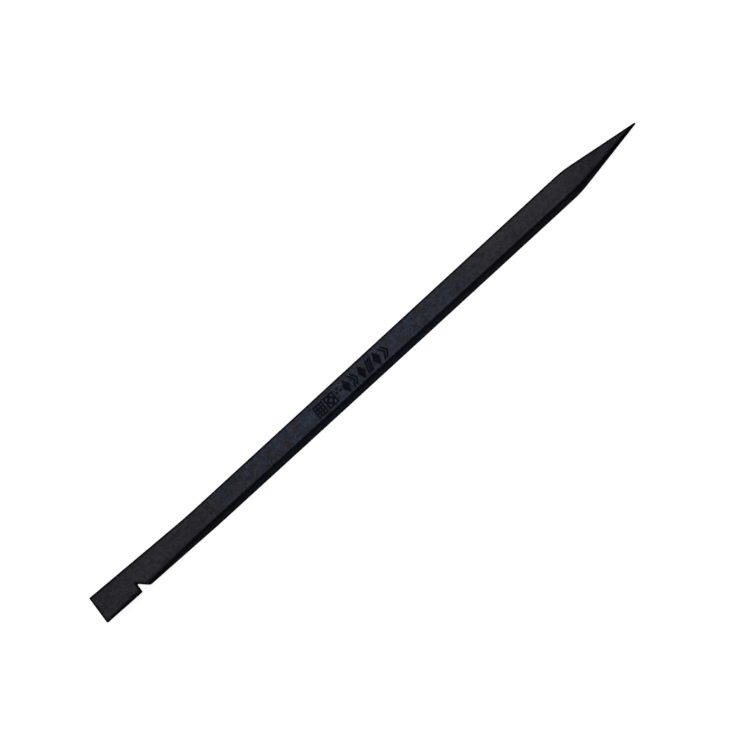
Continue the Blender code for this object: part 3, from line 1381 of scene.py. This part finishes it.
@dataclass(frozen=True)
class Viewpoint:
    """Where the stick is seen from.

    Attributes:
        azimuth: The camera's way round the stick from -Y towards +X, in degrees.
        elevation: Its height above the horizon, in degrees.
        roll: How far it is turned about its own line of sight, in degrees.
        distance: How far it is from the stick's middle.
        aim: The point that it looks at.
        lens: The lens's focal length, in millimetres.
        clip: The nearest and the farthest distance that it sees.
    """

    azimuth: float = 14.481
    elevation: float = 64.238
    roll: float = -55.562
    distance: float = 0.600
    aim: tuple[float, float, float] = (0.000913, -0.001786, 0.001013)
    lens: float = 139.70
    clip: tuple[float, float] = (0.01, 20.0)

    def camera(self, middle: Vector) -> bpy.types.Object:
        """Makes the camera and gives it to the scene.

        Args:
            middle: The middle of the stick.

        Returns:
            The camera.
        """
        camera = bpy.data.objects.new("camera", bpy.data.cameras.new("camera"))
        camera.data.lens = self.lens
        camera.data.clip_start, camera.data.clip_end = self.clip
        camera.location = middle + way_towards(self.azimuth, self.elevation) * self.distance
        straight = (Vector(self.aim) - camera.location).to_track_quat("-Z", "Y")
        camera.rotation_mode = "QUATERNION"
        camera.rotation_quaternion = straight @ Quaternion((0, 0, 1), math.radians(self.roll))
        bpy.context.scene.collection.objects.link(camera)
        bpy.context.scene.camera = camera
        return camera


@dataclass(frozen=True)
class Softbox:
    """A square studio light that faces the stick.

    Attributes:
        name: The light's name.
        azimuth: Its way round the stick from -Y towards +X, in degrees.
        elevation: Its height above the horizon, in degrees.
        distance: How far it is from the place that it faces.
        size: The length of its side.
        power: Its power, in watts.
        faces_x: Where along the stick it faces.
    """

    name: str
    azimuth: float
    elevation: float
    distance: float
    size: float
    power: float
    faces_x: float = 0.0

    def build(self) -> bpy.types.Object:
        """Makes the light, which the camera doesn't see.

        Returns:
            The light.
        """
        back = way_towards(self.azimuth, self.elevation)
        light = bpy.data.objects.new(self.name, bpy.data.lights.new(self.name, "AREA"))
        light.data.shape = "SQUARE"
        light.data.size = self.size
        light.data.energy = self.power
        light.location = Vector((self.faces_x, 0.0, 0.0)) + back * self.distance
        light.rotation_euler = (-back).to_track_quat("-Z", "Y").to_euler()
        light.visible_camera = False
        bpy.context.scene.collection.objects.link(light)
        return light


@dataclass
class Studio:
    """The pale floor, which glows evenly as a light table does, the soft lights and the plain white around.

    Attributes:
        floor_half: Half of the floor's side.
        floor_colour: The floor's colour.
        floor_roughness: The floor's roughness.
        floor_glow: How strongly the floor glows.
        softboxes: The lights.
    """

    floor_half: float = 4.0
    floor_colour: Colour = (0.25, 0.25, 0.25)
    floor_roughness: float = 0.9
    floor_glow: float = 0.92
    softboxes: tuple[Softbox, ...] = (
        Softbox("left_softbox", -90.0, 50.0, 2.0, 1.2, 11.6),
        Softbox("top_softbox", 0.0, 82.0, 0.17, 0.09, 0.107, 0.017),
        Softbox("front_fill", 8.0, 14.0, 0.9, 0.6, 1.5),
        Softbox("back_fill", 172.0, 6.0, 0.9, 0.6, 2.0),
    )

    def build(self) -> None:
        """Makes the floor, the lights and the surroundings."""
        half = self.floor_half
        corners = np.array([[-half, -half, 0.0], [half, -half, 0.0], [half, half, 0.0], [-half, half, 0.0]])
        floor = make_piece("studio_floor", corners, np.array([[0, 1, 2, 3]]), {})
        paint = Shader("floor_paint")
        glow = {"Emission Color": (*WHITE, 1.0), "Emission Strength": self.floor_glow}
        look = {"Base Color": (*self.floor_colour, 1.0), "Roughness": self.floor_roughness}
        paint.put(paint.surface, look | glow | {"Specular IOR Level": 0.0})
        floor.data.materials.append(paint.material)
        floor.visible_glossy = False
        floor.visible_diffuse = False
        for softbox in self.softboxes:
            softbox.build()
        world = bpy.data.worlds.new("surroundings")
        world.use_nodes = True
        world.node_tree.nodes["Background"].inputs["Color"].default_value = (*WHITE, 1.0)
        world.cycles_visibility.diffuse = False
        world.cycles_visibility.glossy = False
        bpy.context.scene.world = world
        bpy.context.scene.view_settings.view_transform = "Standard"
        LOG.info("studio: floor, %d softboxes", len(self.softboxes))


def main() -> None:
    """Builds the camera, the studio and the stick, in that order."""
    logging.basicConfig(level=logging.INFO, format="%(message)s")
    low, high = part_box(STICK_NODE)
    Viewpoint().camera((low + high) / 2)
    Studio().build()
    stick = MouldedStick(StickShape(low, high)).build()
    stick.data.materials.append(BlackNylon().material())
    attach(stick, BODY)
    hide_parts(STICK_NODE)
    LOG.info("%s: %d faces", stick.name, len(stick.data.polygons))


if __name__ == "__main__":
    main()
